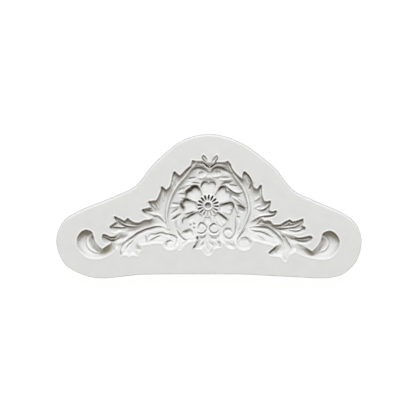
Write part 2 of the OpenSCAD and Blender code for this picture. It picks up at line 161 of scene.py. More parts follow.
# The hollow is the union of these
OUTLINES = {
    "rosette": ring(ROSETTE, PETAL_REACH + 0.5),
    "palmette": closed_curve([
        (-6.6, -8), (-7.4, -10.6), (-6.6, -13.2), (-5.9, -15, 1), (-5.9, -16.4), (-6.9, -18.8),
        (-7.8, -20.5, 1), (-5.5, -20.6), (-3.4, -20.6, 1), (-1.8, -22.8), (-0.4, -23.8), (1.2, -22.9),
        (2.2, -20.8, 1), (3.7, -20.1), (5.7, -19.9, 1), (6, -17.4), (5.8, -15), (6.4, -13), (6.8, -10.6),
        (6, -8)]),
    "crown": closed_curve([
        (-8, 22.4, 1), (-6, 22), (-3.8, 22), (-1.4, 21.4), (0, 21.2), (1.4, 21.3), (5, 21.4), (7.6, 21.5),
        (9.4, 22, 1), (9.8, 20.6, 1), (6, 18.8), (3, 18.8), (0.2, 16.5, 1), (-3, 18.8), (-6, 19),
        (-9, 19.6, 1)]),
    "left_leaflet": closed_curve([
        (-1, 21), (-0.9, 22.8), (-1.8, 24.2), (-2.8, 25, 1), (-3.4, 23.8), (-2.8, 22.6), (-2.2, 21.4)]),
    "right_leaflet": closed_curve([
        (1, 21.2), (2, 22.9), (4, 25, 1), (4.2, 23.4), (3.4, 22.2), (2.6, 21)]),
    "right_leaf": closed_curve([
        (9.5, 21.9, 1), (10.9, 19.3), (12.3, 17), (14.6, 14.6), (16.4, 13.2, 1), (16.5, 15.4),
        (17.5, 16.9, 1), (19.4, 15), (20.9, 12.4), (21.3, 10.7), (22.5, 8.8), (23.7, 8.4, 1),
        (25.8, 10.3, 1), (26.1, 7.7), (26.3, 5.2), (27.3, 2.5, 1), (28.7, 2.3), (30.3, 2.6, 1),
        (30.5, 0.7), (29.8, -2.1, 1), (31.4, -2.6), (33.4, -2.2, 1), (33, -4.3), (31, -5.5), (27.4, -6),
        (25, -6.4), (22.8, -7.9), (21, -9.6), (17, -11.8, 1), (18.2, -7), (19.1, -2.8), (18.8, 0.4),
        (17.8, 4.4), (16.3, 8.2), (14.1, 12.2), (11, 16.2), (9.2, 19.4)]),
    "left_leaf": closed_curve([
        (-7.8, 22.2, 1), (-8.6, 20.1), (-11, 18.1), (-13, 16), (-14.3, 14.8, 1), (-15.7, 16),
        (-16.9, 16.9, 1), (-17.8, 15), (-18.2, 13), (-19, 9.9), (-20.8, 8, 1), (-23.1, 9.5, 1),
        (-23.7, 7.4), (-24.8, 4.8), (-25.9, 2.8, 1), (-27.6, 2.6), (-29.8, 2.3, 1), (-29.4, 0.8),
        (-28.7, -0.7, 1), (-31, -1.1), (-33.1, -1.8, 1), (-32.2, -3.8), (-29.8, -5.4), (-27, -6.3),
        (-24.6, -7.4), (-22.5, -9), (-18.6, -11.8, 1), (-19.2, -8), (-19.8, -3.5), (-19.4, 0),
        (-17.8, 5.1), (-14.9, 10.3), (-11.3, 14.8), (-7.9, 18.6)]),
    "right_side_leaf": closed_curve([
        (17, -11.8, 1), (20.6, -8.6), (23.4, -6.6), (26, -5.7, 1), (27.3, -7.4, 1), (29.4, -7.1),
        (30.7, -7.6), (31.9, -9), (35.2, -9), (37.4, -7.7), (40, -6.5, 1), (41.4, -7.6, 1), (43.8, -7),
        (46.5, -6.1, 1), (46.6, -8), (46, -9.5, 1), (47.8, -10.4, 1), (47, -12), (44.2, -13.1),
        (40.6, -13), (37.4, -13.1, 1), (39, -14.1), (41.3, -14.5), (43.9, -15.4), (46.5, -15.2),
        (49.7, -14.5), (51, -15.1, 1), (50, -17.1), (47.4, -18.4), (43, -18.2, 1), (38.9, -16.5, 1),
        (35.5, -13.4), (32.3, -11.8), (29.1, -10.5), (25.7, -10), (22.9, -10.3), (20.4, -11.7),
        (17.4, -14, 1)]),
    "left_side_leaf": closed_curve([
        (-18.6, -11.8, 1), (-22.5, -7.8), (-25, -6.1), (-27.6, -5.2, 1), (-28.9, -6.5), (-32, -6.9),
        (-34, -7.9), (-36, -8.1), (-38.1, -7.4), (-40.1, -5.9, 1), (-41.7, -7.3, 1), (-43.4, -6.4),
        (-45, -5.6), (-46.7, -5, 1), (-46.2, -6.8), (-45.7, -7.5, 1), (-47.2, -8.7), (-48.9, -9.9, 1),
        (-48.1, -11.6), (-46, -13), (-44, -12.6, 1), (-45.4, -13.8), (-46.8, -14.8), (-48.8, -14.8),
        (-50.5, -14), (-52.1, -13.7, 1), (-52.7, -15.6), (-51.5, -18), (-49.8, -18.5), (-46.5, -17, 1),
        (-41, -17, 1), (-36.5, -13.6), (-32.5, -11.5), (-28.4, -10.3), (-24.3, -9.8), (-21.5, -11),
        (-19, -14, 1)]),
    "right_scroll": closed_curve([
        (38.4, -15.6, 1), (43.2, -17.4, 1), (46.4, -19.4), (48.6, -20.7), (50.8, -22.2, 1), (53, -20.2),
        (54.6, -18), (55.4, -16), (55.8, -14.4), (56.4, -13.3), (57.7, -12.5), (59.6, -12.1), (61.7, -13),
        (63.4, -15), (64.3, -17.5), (63.8, -20.2), (62.4, -22.7), (60.1, -24.7), (57.1, -25.6),
        (53.5, -25.4), (49.4, -24.7), (45.9, -23.4), (42.8, -21.9, 1), (40.6, -20)]),
    "left_scroll": closed_curve([
        (-40.6, -16.2, 1), (-46.6, -16.2, 1), (-48.8, -18.3), (-50.5, -19.6), (-52.6, -21, 1),
        (-54.4, -19.6), (-55.9, -17.6), (-56.9, -14.6), (-57.6, -12.8), (-58.7, -12), (-60.7, -11.6),
        (-62.8, -12.6), (-64.3, -14.6), (-65, -17.2), (-64.4, -20), (-62.7, -22.6), (-59.8, -24.7),
        (-56.4, -25.4), (-52.9, -25.1), (-49.9, -23.9), (-47.5, -22.2), (-45.6, -20.2, 1), (-43.6, -18.6)]),
    "right_curl": ring((17.2, -17.3), CURL_RADIUS),
    "left_curl": ring((-18.9, -17.1), CURL_RADIUS),
    "right_hanging_leaf": closed_curve([
        (33.4, -10.8, 1), (36.6, -12.6), (40, -15.9), (43.6, -21.6, 1), (40.3, -23.2), (38.9, -25),
        (38.2, -27, 1), (36.9, -26.4), (35.7, -24.7), (33.1, -24.2), (30, -23.6), (29.4, -22.6, 1),
        (30.8, -21.6), (32.2, -20.4), (34, -18.8, 1), (32.1, -19.1), (30.1, -18.4), (28.1, -18.1),
        (26, -17.6), (24, -16.8), (21.9, -16.5), (17.6, -15.2, 1), (18.4, -11), (25.7, -9.4), (29.8, -9.8)]),
    "left_hanging_leaf": closed_curve([
        (-34, -10.8, 1), (-41, -15.2), (-46.4, -19.4, 1), (-44.4, -21.6), (-43.6, -24.2, 1),
        (-41.4, -23.5), (-39.4, -24.2, 1), (-37.6, -23.6), (-35.2, -24.1, 1), (-34.3, -22.4),
        (-33.2, -21.4, 1), (-34, -19, 1), (-31.6, -18.6), (-29.4, -18.3), (-26.9, -17.8), (-24.3, -17.8),
        (-22, -18.2), (-18.4, -15.6, 1), (-20, -11), (-24.3, -9.2), (-29.6, -9.8)]),
    "wreath": closed_curve([
        (-8, 20.4, 1), (0, 20.4), (9.4, 20.4, 1), (12.4, 15.4), (16.4, 10), (19.4, 3.4), (20.4, -3),
        (19.4, -9.4), (18.2, -13.4), (13.2, -17.2), (12.6, -20.4), (9.2, -20), (7, -17.6), (0, -16),
        (-7, -16.8), (-10, -17.4), (-12.4, -19.4), (-14.4, -21.2), (-15.8, -19), (-19.4, -13.4),
        (-20.4, -9.4), (-21.4, -3), (-20, 3.4), (-16.8, 10), (-12.2, 15.4)]),
}

# ---- the grid

NX = int(round((GRID_HIGH[0] - GRID_LOW[0]) / STEP / BLOCK)) * BLOCK + 1
NY = int(round((GRID_HIGH[1] - GRID_LOW[1]) / STEP / BLOCK)) * BLOCK + 1
xs = GRID_LOW[0] + STEP * np.arange(NX)
ys = GRID_LOW[1] + STEP * np.arange(NY)
X, Y = np.meshgrid(xs, ys)


def fill(polygon):
    """Grid points inside a polygon, row by row."""
    mask = np.zeros(X.shape, bool)
    a, b = polygon, np.roll(polygon, -1, 0)
    for j, y in enumerate(ys):
        hit = (a[:, 1] > y) != (b[:, 1] > y)
        if hit.any():
            p, q = a[hit], b[hit]
            cross = np.sort(p[:, 0] + (y - p[:, 1]) * (q[:, 0] - p[:, 0]) / (q[:, 1] - p[:, 1]))
            mask[j] = np.searchsorted(cross, xs) % 2 == 1
    return mask


def window(low, high):
    """The part of the grid that covers a box."""
    i0, i1 = np.searchsorted(xs, [low[0], high[0]])
    j0, j1 = np.searchsorted(ys, [low[1], high[1]])
    return slice(max(j0 - 1, 0), j1 + 1), slice(max(i0 - 1, 0), i1 + 1)


def smooth(t):
    t = np.clip(t, 0, 1)
    return t * t * (3 - 2 * t)


def blur(field, radius):
    """Three box blurs of about this radius, in mm."""
    n = max(1, int(round(radius / STEP)))
    for _ in range(3):
        for axis in (0, 1):
            padded = np.pad(field, [(n + 1, n) if k == axis else (0, 0) for k in (0, 1)], mode="edge")
            total = np.cumsum(padded, axis)
            size = 2 * n + 1
            field = (np.take(total, range(size, total.shape[axis]), axis)
                     - np.take(total, range(0, total.shape[axis] - size), axis)) / size
    return field


def along(points, reach=3.2):
    """For the grid points near a curve: window, offset to its left, distance, and place along it."""
    line = open_curve(points)
    part = window(line.min(0) - reach, line.max(0) + reach)
    x, y = X[part].ravel().astype(np.float32), Y[part].ravel().astype(np.float32)
    line = line.astype(np.float32)
    index = np.empty(len(x), int)
    for start in range(0, len(x), CHUNK):
        block = slice(start, start + CHUNK)
        gap = (x[block, None] - line[:, 0]) ** 2 + (y[block, None] - line[:, 1]) ** 2
        index[block] = gap.argmin(1)
    tangent = np.gradient(line, axis=0)
    tangent /= np.linalg.norm(tangent, axis=1)[:, None] + 1e-9
    t = tangent[index]
    dx, dy = x - line[index, 0], y - line[index, 1]
    left = t[:, 0] * dy - t[:, 1] * dx
    forward = t[:, 0] * dx + t[:, 1] * dy
    beyond = np.maximum(np.abs(forward) - 0.15, 0)
    shape = X[part].shape
    return (part, left.reshape(shape), np.hypot(left, beyond).reshape(shape),
            (index / max(len(line) - 1, 1)).reshape(shape))


# ---- the hollow's edge

region = {name: fill(line) for name, line in OUTLINES.items()}
hollow = np.any(list(region.values()), 0)
edge = []
edge_out = []
for name, line in OUTLINES.items():
    keep = np.ones(len(line), bool)
    for other, polygon in OUTLINES.items():
        if other != name:
            low, high = polygon.min(0), polygon.max(0)
            near = ((line > low) & (line < high)).all(1) & keep
            if near.any():
                keep[np.nonzero(near)[0][inside(line[near], polygon)]] = False
    edge.append(line[keep])
    edge_out.append(outward_of(line)[keep])
edge = np.concatenate(edge)
edge_out = np.concatenate(edge_out)

# Signed distance from the hollow's edge, positive inside, and the way that the nearest edge faces
tree = tree_of(edge)
close = blur(hollow.astype(float), 0.8) > 1e-6
signed = np.full(X.shape, -3.0)
facing = np.zeros(X.shape)
for j, i in zip(*np.nonzero(close)):
    _, index, gap = tree.find((X[j, i], Y[j, i], 0))
    signed[j, i] = gap if hollow[j, i] else -gap
    facing[j, i] = edge_out[index, 1]

# ---- the floor of the hollow, as a depth below the top face

LEAF_FLOOR = 3.8
LEAFLET_FLOOR = 1.5
# The end scrolls get deeper from their necks to their bowls
NECK_FLOOR = 1.3
BOWL_FLOOR = 4.5
floor = np.full(X.shape, LEAF_FLOOR)
for name, depth in (("right_hanging_leaf", 2.6), ("left_hanging_leaf", 2.6), ("right_curl", 2.4),
                    ("left_curl", 2.4), ("wreath", 3.9), ("crown", 2.7), ("palmette", 3.7), ("rosette", 3.9)):
    floor[region[name]] = depth
scrolls = region["right_scroll"] | region["left_scroll"]
floor[scrolls] = (NECK_FLOOR + (BOWL_FLOOR - NECK_FLOOR) * smooth((np.abs(X) - 43) / 9))[scrolls]
floor = blur(floor, 0.6)
leaflets = blur((region["left_leaflet"] | region["right_leaflet"]).astype(float), 0.2)
floor += (LEAFLET_FLOOR - floor) * np.clip(leaflets * 1.3, 0, 1)

# What the strokes below add: depth, painted dark shade lines, painted shaded patches, painted highlights on
# crests, and gentle walls
folds = np.zeros(X.shape)
painted_undercut_shade = np.zeros(X.shape)
shaded = np.zeros(X.shape)
painted_crest_highlight = np.zeros(X.shape)
ease = np.zeros(X.shape)


def taper(place, ends):
    """1 in the middle of a stroke, and the given share at its two ends."""
    start = ends[0] + (1 - ends[0]) * smooth(place / 0.3)
    stop = ends[1] + (1 - ends[1]) * smooth((1 - place) / 0.3)
    return start * stop


def stroke(points, rise, left, right, ends=(0.3, 0.1)):
    """Lifts the folds along a curve, or sinks them if `rise` is negative. Each flank has its own width."""
    part, side, distance, place = along(points)
    share = taper(place, ends)
    width = np.where(side > 0, left, right) * (0.45 + 0.55 * share)
    q = np.clip(distance / width, 0, 1)
    folds[part] -= rise * share * (1 - q * q) ** 2


def ridge(points, rise, upper, lower, ends=(0.3, 0.3)):
    """A ridge from left to right, with the widths of its upper and lower flanks."""
    stroke(points, rise, upper, lower, ends)


def groove(points, depth, upper, lower, ends=(0.3, 0.3)):
    stroke(points, -depth, upper, lower, ends)


def pocket(points, depth, wall):
    """Sinks them inside a closed curve, with walls of this width."""
    line = closed_curve(points)
    part = window(line.min(0) - 0.5, line.max(0) + 0.5)
    grid = np.stack([X[part].ravel(), Y[part].ravel()], 1)
    member = inside(grid, line)
    near = tree_of(line)
    gap = np.array([near.find((p[0], p[1], 0))[2] for p in grid])
    signed_gap = np.where(member, gap, -gap)
    folds[part] += (depth * smooth((signed_gap + 0.2) / (wall + 0.2))).reshape(X[part].shape)


def bowl(x, y, radius, depth):
    """Sinks them in a round bowl."""
    part = window((x - radius, y - radius), (x + radius, y + radius))
    q = np.clip(np.hypot(X[part] - x, Y[part] - y) / radius, 0, 1)
    folds[part] += depth * (1 - q * q) ** 1.5


def paint(field, points, width, strength, end=0.5, power=2):
    """Marks a field along a line, fading to its sides and its two ends."""
    part, _, distance, place = along(points)
    share = strength * taper(place, (end, end)) * np.exp(-(distance / width) ** power)
    field[part] = np.maximum(field[part], np.minimum(share, 1))


def dark(points, width, strength):
    """Darkens a line, as in an undercut that no light reaches."""
    paint(painted_undercut_shade, points, width, 1.5 * strength)


def warm(points, width, strength):
    """Tints a line like shaded rubber."""
    paint(shaded, points, width, strength, 0.6, 4)


def bright(points, width, strength):
    """Paints a highlight along a line, where a crest catches the light."""
    paint(painted_crest_highlight, points, width, strength)


def gentle(points, width, share=1):
    """Makes the hollow's walls gentle along a line."""
    part, _, distance, _ = along(points)
    ease[part] = np.maximum(ease[part], share * smooth(1.6 - 1.6 * distance / width))


# The rosette: eight spoon-shaped petals with notched ends, sixteen stamens and a button
dx, dy = X - ROSETTE[0], Y - ROSETTE[1]
radius = np.hypot(dx, dy)
angle = np.degrees(np.arctan2(dy, dx))
WIDEST_AT = 9.2
PETAL_MIDDLE = 8.5
NOTCH = 0.8
# Each petal's direction, reach, half width and depth
PETALS = ((89, 12.1, 3.7, 0.9), (136, 12.2, 3.5, 1.2), (181, 12.5, 3.3, 1.1), (225, 12, 3.1, 0.8),
          (268, 9.4, 2.6, 0.3), (312, 12.2, 2.8, 0.9), (-8, 12.3, 3, 1), (39, 12.5, 3.4, 1))
for direction, reach, widest, deep in PETALS:
    c, s = unit(direction)
    u, v = dx * c + dy * s, np.abs(dy * c - dx * s)
    half = np.minimum(np.maximum(u, 0) * (widest + 0.2) / WIDEST_AT - 0.1, widest)
    end = reach - NOTCH * np.exp(-(v / 0.55) ** 2) - 0.5 * np.clip(v - widest + 1.9, 0, None) ** 2
    gap = np.minimum(half - v, end - u)
    tilt = deep + 0.15 * (dy - PETAL_MIDDLE * s) + 0.25 * smooth(gap / 2.2)
    folds += np.where(u > 4, smooth((gap + 0.05) / 0.6) * tilt * smooth((u - 5.0) / 1.2), 0)

STAMENS = 16
FIRST_STAMEN = 86
STAMEN_START = 1.8
STAMEN_END = 5.4
BUTTON = 1.6
wave = np.cos(np.radians((angle - FIRST_STAMEN) * STAMENS))
out = radius - STAMEN_START
ring_share = smooth(out) * smooth((STAMEN_END - radius) / 0.4) * (0.68 + 0.4 * dy / (radius + 0.1))
folds += ring_share * 2.7 * np.clip(wave, -0.2, 1) * smooth(out / 2.8)
folds -= 0.8 * np.exp(-((radius - 1.9) / 0.45) ** 2)
folds += 1.5 * smooth((BUTTON - radius) / 0.7)

# Painted shade along the deep edges behind the petals, where the mould is undercut
dark([(-11.2, 5.2), (-10.9, 6.8), (-9.9, 7.9), (-8.7, 8.5), (-8.2, 9.4), (-7, 9.8), (-5.8, 9.5), (-5, 8.4)],
     0.75, 1)
dark([(-9.3, 3), (-10.2, 3.2), (-11.3, 3.5), (-12.2, 2.9), (-12.9, 1.9)], 0.5, 1)
dark([(-13.1, 1.9), (-13.4, 0.8), (-12.9, -0.2), (-12.4, -1.2)], 0.9, 0.85)
dark([(-11.4, -3.7), (-9.5, -3.3), (-7.3, -2.5)], 0.4, 0.8)
dark([(-3.9, 9.6), (-3.4, 10.9), (-2.6, 11.8), (-1.6, 12.2)], 0.45, 0.8)
dark([(-1.8, 12.6), (0.2, 13), (2, 12.6)], 0.8, 0.35)
dark([(1.8, 12.3), (2.7, 11.8), (3.3, 10.9)], 0.45, 0.55)
dark([(4.9, 8), (5.5, 9.1), (6.6, 9.8), (8, 9.7)], 0.55, 0.95)
dark([(8.1, 8), (8.7, 7.2)], 0.4, 0.6)
dark([(10.2, 7), (10.8, 6), (10.4, 4.4)], 0.4, 0.5)
dark([(5.9, 0.3), (7.6, 1), (9.5, 1.7), (10.9, 1.9), (11.8, 1.1), (12.1, -0.2), (11.6, -1.4)], 0.5, 0.85)
dark([(11.5, -1.6), (11.2, -2.8), (10.3, -3.9), (8.6, -3.7), (6.9, -3)], 0.4, 0.4)
dark([(4.7, -3.2), (6.3, -4.4), (8, -5.7), (9.3, -6.7)], 0.5, 0.8)
dark([(8.8, -7.6), (7.8, -8.8), (6.3, -9.8), (4.5, -8.8), (3.8, -7.5)], 0.35, 0.35)
dark([(-11.4, -6.1), (-10, -5), (-8.5, -4.2), (-6.6, -3.2)], 0.5, 0.8)
dark([(-12.5, -5.8), (-13, -7), (-12.8, -8.3)], 0.4, 0.5)
# Painted shade in the gaps between the stamens, darkest at the top
for k, share in enumerate((0.5, 0.7, 0.8, 0.9, 0.9, 1, 1, 1, 1, 0.9, 0.8, 0.7, 0.4)):
    c, s = unit(FIRST_STAMEN + (k - 5) * 360 / STAMENS)
    dark([(ROSETTE[0] + r * c, ROSETTE[1] + r * s) for r in (3.4, 4.9)], 0.4, share)
dark([(-1.9, 0.5), (-1.3, 1.3), (-0.4, 1.6), (0.5, 1)], 0.45, 0.7)

# The rim behind the petals, which stands higher above them towards the top
stroke([(-12.4, 5.6), (-11.6, 7.8), (-9.2, 9.6), (-6.8, 10.8), (-4.6, 10.2)], 0.9, 1, 0.6)
stroke([(-4.2, 12), (-2.4, 13.8), (0, 14.3), (2.4, 13.8), (4, 12.2)], 0.4, 1.2, 1.4)
stroke([(-14.6, 0.6), (-13.6, 3.4), (-11.6, 4.5), (-9.6, 4)], 1, 0.8, 0.7)

# Main stems round the rosette: a ridge with a soft outer flank and a steep inner one
stroke([(-6.1, 21.2), (-8, 19), (-9.9, 16.8), (-11.9, 14.3), (-14.8, 11.1), (-17, 7.8), (-18.9, 4),
        (-20.1, 0), (-20.7, -4), (-20.4, -7.6), (-19.4, -10.8)], 2.2, 0.9, 1.1, (0.7, 0.3))
stroke([(9.6, 20.6), (10.6, 17.9), (12.4, 15), (14.6, 12.1), (16.5, 9.5), (17.8, 7), (18.7, 4), (19.4, 1),
        (19.6, -2), (18.9, -4.8), (18, -7.2), (16.8, -9.8), (15.2, -12.4)], 2, 1.1, 0.9, (0.6, 0.3))

# Crown: its V, two scrolls with eyes
for line, deep, strength in (([(-3.5, 21.8), (-2.2, 21), (-1, 19.9), (0.1, 19)], 1.3, 0.7),
                             ([(0.6, 19), (1.4, 19.5), (2.6, 20.6), (3.5, 21.8)], 1.4, 0.75)):
    groove(line, deep, 0.4, 0.8)
    dark(line, 0.35, strength)
ridge([(-5.8, 20.6), (-3, 20), (-1.2, 18.9), (0, 17.4)], 0.9, 0.8, 0.6)
ridge([(0.8, 17.4), (1.8, 19), (3.4, 20), (6.2, 20), (8.6, 19.2)], 1.3, 0.8, 0.6)
groove([(-8.6, 17.9), (-7.6, 18.5), (-6.2, 18.9), (-4.6, 18.9), (-3.1, 18.6), (-1.6, 17.9), (-0.5, 17)], 1.2,
       0.4, 1.6, (0.5, 0.6))
groove([(1.3, 17), (2.1, 18.2), (3.4, 19), (5.1, 19.1), (6.7, 18.6), (8.3, 17.8), (9.9, 17), (11.6, 16.2),
        (12.8, 14.8)], 1.2, 0.4, 1.6, (0.6, 0.4))
dark([(1.2, 16.9), (2.2, 18.3), (3.5, 19.1), (5.1, 19.2), (6.7, 18.7), (8.3, 17.9), (9.8, 17.1)], 0.35, 0.7)
dark([(-7.8, 18.2), (-6.2, 18.9), (-4.6, 19.1), (-2.8, 18.7), (-1.3, 17.6)], 0.35, 0.6)
dark([(-4.2, 16.2), (-3.2, 16.7)], 0.8, 0.2)
dark([(3.7, 16.9), (4.7, 16.8)], 0.8, 0.17)
dark([(-3.4, 24.1), (-2.9, 23.2), (-2.2, 22.4), (-1.4, 21.7)], 0.35, 0.7)
dark([(-3, 24.9), (-1.9, 24.5), (-1.1, 23.4), (-0.8, 22.4)], 0.25, 0.25)
dark([(1.2, 22.6), (2.2, 23.9), (3.3, 24.7), (4, 24.8)], 0.25, 0.35)
dark([(4.3, 24.2), (4.1, 23.2), (3.3, 22.1), (2.8, 21.4)], 0.35, 0.7)
dark([(10, 21), (10.7, 19.9)], 0.4, 0.8)
groove([(-4.9, 14.8), (-4.6, 16.1), (-3.6, 16.8), (-2.4, 16.5)], 1.1, 0.6, 1.5)
groove([(2.7, 16.3), (3.3, 16.9), (4.2, 17.2), (5.2, 16.9), (5.7, 16.2)], 1, 0.6, 1.8)
ridge([(-5.4, 14.1), (-3.8, 13.8), (-2, 14.7), (-1.2, 16.1)], 0.8, 1.2, 0.9)
ridge([(1.8, 15.3), (2.8, 14.6), (4.4, 14.6), (6, 15.4)], 0.8, 1.2, 0.9)

# Folds of the wreath above the rosette
groove([(-10.4, 13.5), (-9.4, 13.8), (-8, 14), (-6.5, 14.3)], 0.9, 0.4, 1)
groove([(-8.4, 11.7), (-6.4, 11.5), (-4.7, 11.2)], 0.9, 0.5, 0.9)
ridge([(-12, 10), (-9, 10.8), (-6.4, 10.4)], 0.8, 1, 0.8)
groove([(5.7, 14), (6.8, 14.3), (8.4, 14.2), (9.9, 14.2)], 0.7, 0.4, 0.9)
groove([(6.5, 10.8), (8, 11.6), (9.4, 11.7), (11.2, 12.2)], 1.2, 0.7, 1, (0.7, 0.3))
ridge([(5.4, 12.9), (8, 13), (11.4, 13.4)], 0.6, 0.9, 0.8)

# Folds of the wreath on the left
groove([(-15.4, 7.6), (-13.6, 8.6), (-11.6, 9)], 0.7, 0.5, 1.2)
groove([(-14.4, 6), (-13.3, 6.2), (-12.2, 6.1)], 0.9, 0.5, 0.9, (0.5, 0.6))
groove([(-13.7, 3.8), (-12.6, 4.1)], 0.8, 0.5, 0.7, (0.6, 0.6))
groove([(-18, 1.5), (-16.6, 1.5), (-14.8, 1.2)], 0.9, 0.6, 1.2, (0.3, 0.6))
groove([(-18.4, -3.5), (-16.8, -2.1), (-15, -1)], 0.8, 0.5, 1.4)
groove([(-18, -6.2), (-16.6, -5.4), (-15.5, -4.5), (-14.6, -3.9)], 1.5, 0.4, 1.3, (0.5, 0.8))
dark([(-17.6, -5.9), (-16.4, -5.1), (-15.2, -4.2)], 0.35, 0.6)
groove([(-12.9, -8.4), (-12.8, -7), (-12, -5.8), (-11, -5.6)], 0.9, 0.5, 0.9)
stroke([(-15.6, -6.4), (-16.1, -7.6), (-16.1, -9.8), (-15.4, -11.6)], -0.7, 0.7, 0.9)
ridge([(-18.8, -0.4), (-16.4, 0), (-14.6, 0.1)], 0.6, 1, 0.8)
ridge([(-14.4, -7), (-14.6, -9), (-14, -11)], 0.5, 0.9, 0.9)

# Faint shade in the folds of the wreath
for line in ([(-15, 7.7), (-13.4, 8.6), (-11.8, 9)], [(-14.4, 6.1), (-12.4, 6.2)],
             [(-13.6, 3.9), (-12.7, 4.1)], [(-18, 1.6), (-16.6, 1.6), (-14.8, 1.3)],
             [(-17.6, -2.8), (-16.4, -1.9), (-15.2, -1.1)],
             [(-12.8, -7.6), (-12.4, -6.2), (-11.4, -5.7)], [(-10, 13.7), (-8.4, 14), (-6.7, 14.3)],
             [(-8, 11.7), (-6.4, 11.5), (-4.9, 11.3)], [(10, 10.8), (12, 10.5), (14, 10.1)],
             [(6.2, 14.2), (8, 14.3), (9.6, 14.2)], [(13.8, -5), (14.8, -5.2)],
             [(14, 3.9), (16, 2.4), (17.8, 0.8)]):
    dark(line, 0.4, 0.3)
dark([(6.6, 11), (8, 11.7), (9.4, 11.8), (11, 12.2)], 0.7, 0.4)
dark([(12.4, 5.8), (13.8, 5.1), (15.2, 4.6)], 0.8, 0.2)

# Folds of the wreath on the right
groove([(9.8, 10.8), (12, 10.4), (14.4, 10)], 0.9, 0.3, 1)
ridge([(8.6, 10), (9.8, 9), (11.4, 7.8), (13, 7), (14.6, 6.7), (16.1, 7.1)], 1.5, 1.9, 0.5, (0.6, 0.3))
dark([(8.8, 9.4), (9.8, 8.6), (11.2, 7.4), (12.8, 6.5), (14.6, 6.1), (16, 6.5)], 0.4, 0.55)
stroke([(11, 6), (13, 5.2), (15.4, 4.8)], -0.9, 0.9, 1.2)
ridge([(12, 4.5), (14, 3.1), (15.8, 1.7), (17.8, -0.1)], 1.4, 1.5, 1, (0.5, 0.5))
pocket([(13.7, 0.7, 1), (15.2, 0.6), (16.8, 0), (17.7, -1.2), (17.8, -2.8, 1), (16.4, -2.6), (15, -2.4)], 1.5,
       0.9)
dark([(13.8, 0.7), (15.3, 0.2), (16.8, -0.6), (17.7, -1.8)], 0.45, 0.7)
dark([(14.6, -0.9), (16.2, -1.6), (17, -2.6)], 0.4, 0.4)
stroke([(12.6, 0.4), (13.6, -1.2), (14.1, -3.6)], 1.1, 0.7, 0.8)
groove([(13.7, -4.9), (14.4, -5.2), (15, -5.1)], 0.9, 0.5, 0.9)
stroke([(13, -5.4), (13.2, -7.4), (13.2, -9.8), (12.7, -12.8)], -0.6, 0.4, 0.9)
stroke([(14.6, -6.6), (14.8, -9), (14.4, -11.6)], 0.6, 0.9, 0.9)

# Left large leaf
groove([(-17.4, 12.6), (-16.6, 10.6), (-16.6, 8.8)], 0.5, 0.6, 0.8)
stroke([(-16.4, 15.2), (-16.9, 12.8), (-18.2, 9.6)], 0.5, 0.7, 0.7)
stroke([(-22.9, 8), (-23.7, 5.8), (-24.2, 4), (-24.4, 2.6)], -1.1, 0.5, 0.7, (0.6, 0.6))
stroke([(-22, 8), (-22.3, 5.6), (-22, 2)], 0.6, 0.7, 0.7)
groove([(-29.2, 1.5), (-28.4, 0.6), (-27.7, -0.5)], 1.2, 0.4, 0.6, (0.8, 0.5))
ridge([(-28.2, 1.3), (-27, 0), (-25.8, -1.5)], 1.1, 0.7, 0.4)
ridge([(-26.4, 1.6), (-25.4, 0.4), (-24.4, -1.6)], 0.9, 0.6, 0.4)
groove([(-31.6, -2), (-29.8, -2), (-27.7, -2.6)], 0.9, 0.4, 0.6, (0.8, 0.3))
ridge([(-31.4, -2.2), (-29.6, -3.1), (-27.4, -3.8), (-25, -4.3), (-23.4, -5.4), (-21.8, -7.4)], 1.1, 1.3, 0.5,
      (0.5, 0.3))
groove([(-32.2, -2.6), (-30.6, -4.1), (-28, -4.7), (-26.4, -5)], 1.5, 0.5, 1, (0.9, 0.3))
groove([(-28, -4.7), (-25.3, -5.3), (-23.2, -6.7), (-21.2, -8.8)], 0.5, 0.6, 1)

# Right large leaf
stroke([(18, 16.2), (19.4, 14), (20.5, 11.9)], 1.2, 0.5, 0.9)
stroke([(17.3, 15.6), (18.2, 13.8), (18.8, 12), (19, 10)], 0.9, 1, 1)
dark([(17.7, 16.8), (19.5, 14.9), (20.9, 12.5), (21.4, 11)], 0.3, 0.8)
stroke([(21.2, 11.3), (20.7, 10.4), (20.2, 9.2), (19.6, 7.9)], -1.4, 0.5, 0.7, (1, 0.2))
stroke([(25.4, 9), (25.2, 7), (25.4, 5)], 0.9, 0.5, 0.6)
ridge([(22.4, 2.7), (23.8, 3.8), (25.3, 4.8)], 1.1, 1.1, 0.5)
ridge([(24, -1.4), (25.4, -1.5), (27.3, -0.9), (28.6, 0), (29.8, 1.4)], 1.6, 1.2, 0.5, (0.4, 0.7))
dark([(24.9, -2.1), (27, -1.9), (28.4, -1.1), (29.8, 0), (30.2, 1.2)], 0.35, 0.6)
ridge([(20.8, -7.2), (22.6, -6.1), (24.4, -5), (26.6, -4.4), (29, -4.2), (31.4, -3.9), (32.6, -3.1)], 1.8,
      1.4, 0.5, (0.3, 0.8))
dark([(26.4, -5.2), (28.4, -5.1), (30.6, -4.8), (32.2, -4.4), (33, -3.4)], 0.35, 0.7)
dark([(21.4, -7.6), (23.2, -6.6), (24.9, -5.6)], 0.35, 0.4)
ridge([(22, -1.2), (23.6, 0.2), (25.8, 0.8)], 0.6, 1, 0.8)

